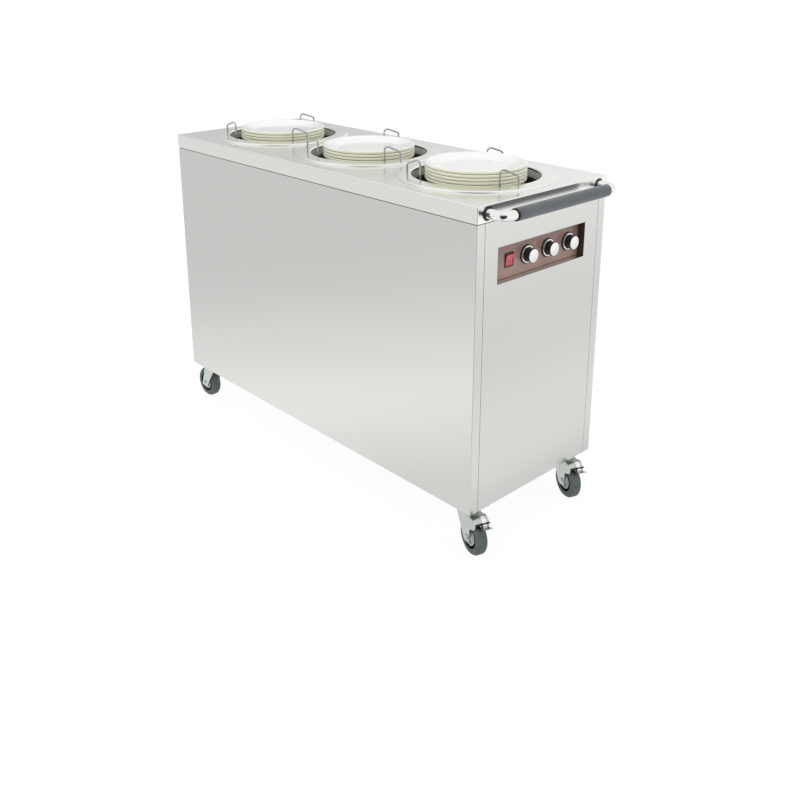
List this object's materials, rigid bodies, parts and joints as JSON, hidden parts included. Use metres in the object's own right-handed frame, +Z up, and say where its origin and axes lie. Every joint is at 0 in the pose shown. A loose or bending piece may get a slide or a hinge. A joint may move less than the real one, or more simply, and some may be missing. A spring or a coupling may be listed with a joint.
{
  "type": "plate dispenser cart",
  "caption": "Mobile heated plate dispenser: a steel cabinet with a row of sprung wells, plate guides, thermostat knobs, a push handle and swivel casters.",
  "frame": {"origin": "centre of the bounding box at the floor", "axes": "+X towards the handle and controls, -Y the near side, +Z up"},
  "size_m": [1.407, 0.5, 0.9761],
  "materials": {
    "panel_steel": "fine satin stainless sheet",
    "polished_steel": "mirror polished",
    "well_steel": "plain stainless",
    "spring_steel": "plain spring steel",
    "heater_steel": "oxidised heater sheath",
    "plate_glaze": "glossy glaze",
    "control_plate": "maroon brown satin",
    "black_plastic": "satin black",
    "red_plastic": "gloss red",
    "grip_rubber": "dark slate foam rubber",
    "zinc_plate": "bright zinc plate",
    "hub_grey": "light grey plastic",
    "tyre_grey": "dark grey rubber"
  },
  "bodies": {
    "cabinet": {"top_deck": "panel_steel", "base_pan": "panel_steel", "side_panel_front": "panel_steel", "side_panel_back": "panel_steel", "end_panel_control": "panel_steel", "end_panel_rear": "panel_steel", "control_recess": "panel_steel", "well_ring_1": "polished_steel", "well_ring_2": "polished_steel", "well_ring_3": "polished_steel", "handle_tube": "polished_steel", "well_barrel_1": "well_steel", "well_barrel_2": "well_steel", "well_barrel_3": "well_steel", "guide_sockets": "well_steel", "lift_spring_1": "spring_steel", "lift_spring_2": "spring_steel", "lift_spring_3": "spring_steel", "heating_elements": "heater_steel", "control_faceplate": "control_plate", "switch_housing": "black_plastic", "thermostats": "black_plastic", "terminal_box": "black_plastic", "cable_gland": "black_plastic", "handle_grip": "grip_rubber", "caster_plates": "zinc_plate", "fasteners": "zinc_plate"},
    "platform_1_body": {"platform_1": "well_steel"},
    "plates_1_body": {"plates_1": "plate_glaze"},
    "guide_1a_body": {"plate_guide_1a": "polished_steel"},
    "guide_1b_body": {"plate_guide_1b": "polished_steel"},
    "guide_1c_body": {"plate_guide_1c": "polished_steel"},
    "platform_2_body": {"platform_2": "well_steel"},
    "plates_2_body": {"plates_2": "plate_glaze"},
    "guide_2a_body": {"plate_guide_2a": "polished_steel"},
    "guide_2b_body": {"plate_guide_2b": "polished_steel"},
    "guide_2c_body": {"plate_guide_2c": "polished_steel"},
    "platform_3_body": {"platform_3": "well_steel"},
    "plates_3_body": {"plates_3": "plate_glaze"},
    "guide_3a_body": {"plate_guide_3a": "polished_steel"},
    "guide_3b_body": {"plate_guide_3b": "polished_steel"},
    "guide_3c_body": {"plate_guide_3c": "polished_steel"},
    "knob_1_body": {"knob_1": "black_plastic"},
    "knob_2_body": {"knob_2": "black_plastic"},
    "knob_3_body": {"knob_3": "black_plastic"},
    "rocker_body": {"switch_rocker": "red_plastic"},
    "caster_1": {"caster_fork_1": "zinc_plate"},
    "wheel_1": {"wheel_hub_1": "hub_grey", "tyre_1": "tyre_grey"},
    "brake_1": {"brake_pedal_1": "zinc_plate"},
    "caster_2": {"caster_fork_2": "zinc_plate"},
    "wheel_2": {"wheel_hub_2": "hub_grey", "tyre_2": "tyre_grey"},
    "brake_2": {"brake_pedal_2": "zinc_plate"},
    "caster_3": {"caster_fork_3": "zinc_plate"},
    "wheel_3": {"wheel_hub_3": "hub_grey", "tyre_3": "tyre_grey"},
    "caster_4": {"caster_fork_4": "zinc_plate"},
    "wheel_4": {"wheel_hub_4": "hub_grey", "tyre_4": "tyre_grey"}
  },
  "joints": [
    {"name": "platform_1_slide", "type": "slide", "parent": "cabinet", "child": "platform_1_body", "axis": [0, 0, 1], "range_m": [-0.31, 0], "stiffness_N_per_m": 1068, "springref_m": 0.09, "deforming": ["lift_spring_1"]},
    {"name": "plates_1_lift", "type": "slide", "parent": "platform_1_body", "child": "plates_1_body", "axis": [0, 0, 1], "range_m": [0, 0.15]},
    {"name": "guide_1a_swing", "type": "hinge", "parent": "cabinet", "child": "guide_1a_body", "pos_m": [-0.26341, -0.03722, 0.93], "axis": [0, 0, 1], "range_deg": [-18, 18]},
    {"name": "guide_1b_swing", "type": "hinge", "parent": "cabinet", "child": "guide_1b_body", "pos_m": [-0.49381, 0.17024, 0.93], "axis": [0, 0, 1], "range_deg": [-18, 18]},
    {"name": "guide_1c_swing", "type": "hinge", "parent": "cabinet", "child": "guide_1c_body", "pos_m": [-0.55827, -0.13302, 0.93], "axis": [0, 0, 1], "range_deg": [-18, 18]},
    {"name": "platform_2_slide", "type": "slide", "parent": "cabinet", "child": "platform_2_body", "axis": [0, 0, 1], "range_m": [-0.31, 0], "stiffness_N_per_m": 1068, "springref_m": 0.09, "deforming": ["lift_spring_2"]},
    {"name": "plates_2_lift", "type": "slide", "parent": "platform_2_body", "child": "plates_2_body", "axis": [0, 0, 1], "range_m": [0, 0.15]},
    {"name": "guide_2a_swing", "type": "hinge", "parent": "cabinet", "child": "guide_2a_body", "pos_m": [0.15759, -0.03722, 0.93], "axis": [0, 0, 1], "range_deg": [-18, 18]},
    {"name": "guide_2b_swing", "type": "hinge", "parent": "cabinet", "child": "guide_2b_body", "pos_m": [-0.07281, 0.17024, 0.93], "axis": [0, 0, 1], "range_deg": [-18, 18]},
    {"name": "guide_2c_swing", "type": "hinge", "parent": "cabinet", "child": "guide_2c_body", "pos_m": [-0.13727, -0.13302, 0.93], "axis": [0, 0, 1], "range_deg": [-18, 18]},
    {"name": "platform_3_slide", "type": "slide", "parent": "cabinet", "child": "platform_3_body", "axis": [0, 0, 1], "range_m": [-0.31, 0], "stiffness_N_per_m": 1068, "springref_m": 0.09, "deforming": ["lift_spring_3"]},
    {"name": "plates_3_lift", "type": "slide", "parent": "platform_3_body", "child": "plates_3_body", "axis": [0, 0, 1], "range_m": [0, 0.15]},
    {"name": "guide_3a_swing", "type": "hinge", "parent": "cabinet", "child": "guide_3a_body", "pos_m": [0.57859, -0.03722, 0.93], "axis": [0, 0, 1], "range_deg": [-18, 18]},
    {"name": "guide_3b_swing", "type": "hinge", "parent": "cabinet", "child": "guide_3b_body", "pos_m": [0.34819, 0.17024, 0.93], "axis": [0, 0, 1], "range_deg": [-18, 18]},
    {"name": "guide_3c_swing", "type": "hinge", "parent": "cabinet", "child": "guide_3c_body", "pos_m": [0.28373, -0.13302, 0.93], "axis": [0, 0, 1], "range_deg": [-18, 18]},
    {"name": "knob_1_turn", "type": "hinge", "parent": "cabinet", "child": "knob_1_body", "pos_m": [0.6225, -0.043, 0.772], "axis": [-1, 0, 0], "range_deg": [0, 270]},
    {"name": "knob_2_turn", "type": "hinge", "parent": "cabinet", "child": "knob_2_body", "pos_m": [0.6225, 0.039, 0.772], "axis": [-1, 0, 0], "range_deg": [0, 270]},
    {"name": "knob_3_turn", "type": "hinge", "parent": "cabinet", "child": "knob_3_body", "pos_m": [0.6225, 0.121, 0.772], "axis": [-1, 0, 0], "range_deg": [0, 270]},
    {"name": "switch_rock", "type": "hinge", "parent": "cabinet", "child": "rocker_body", "pos_m": [0.6125, -0.11, 0.772], "axis": [0, 1, 0], "range_deg": [-16, 0]},
    {"name": "caster_1_swivel", "type": "hinge", "parent": "cabinet", "child": "caster_1", "pos_m": [0.5865, -0.2, 0.112], "axis": [0, 0, 1], "continuous": true},
    {"name": "wheel_1_roll", "type": "hinge", "parent": "caster_1", "child": "wheel_1", "pos_m": [0.61693, -0.20989, 0.05], "axis": [0.309, 0.9511, 0], "continuous": true},
    {"name": "brake_1_press", "type": "hinge", "parent": "caster_1", "child": "brake_1", "pos_m": [0.64547, -0.21916, 0.098], "axis": [0.309, 0.9511, 0], "range_deg": [0, 12]},
    {"name": "caster_2_swivel", "type": "hinge", "parent": "cabinet", "child": "caster_2", "pos_m": [0.5865, 0.2, 0.112], "axis": [0, 0, 1], "continuous": true},
    {"name": "wheel_2_roll", "type": "hinge", "parent": "caster_2", "child": "wheel_2", "pos_m": [0.61617, 0.18801, 0.05], "axis": [0.3746, 0.9272, 0], "continuous": true},
    {"name": "brake_2_press", "type": "hinge", "parent": "caster_2", "child": "brake_2", "pos_m": [0.64399, 0.17677, 0.098], "axis": [0.3746, 0.9272, 0], "range_deg": [0, 12]},
    {"name": "caster_3_swivel", "type": "hinge", "parent": "cabinet", "child": "caster_3", "pos_m": [-0.6215, -0.2, 0.112], "axis": [0, 0, 1], "continuous": true},
    {"name": "wheel_3_roll", "type": "hinge", "parent": "caster_3", "child": "wheel_3", "pos_m": [-0.6535, -0.2, 0.05], "axis": [0, 1, 0], "continuous": true},
    {"name": "caster_4_swivel", "type": "hinge", "parent": "cabinet", "child": "caster_4", "pos_m": [-0.6215, 0.2, 0.112], "axis": [0, 0, 1], "continuous": true},
    {"name": "wheel_4_roll", "type": "hinge", "parent": "caster_4", "child": "wheel_4", "pos_m": [-0.6535, 0.2, 0.05], "axis": [0, 1, 0], "continuous": true}
  ]
}
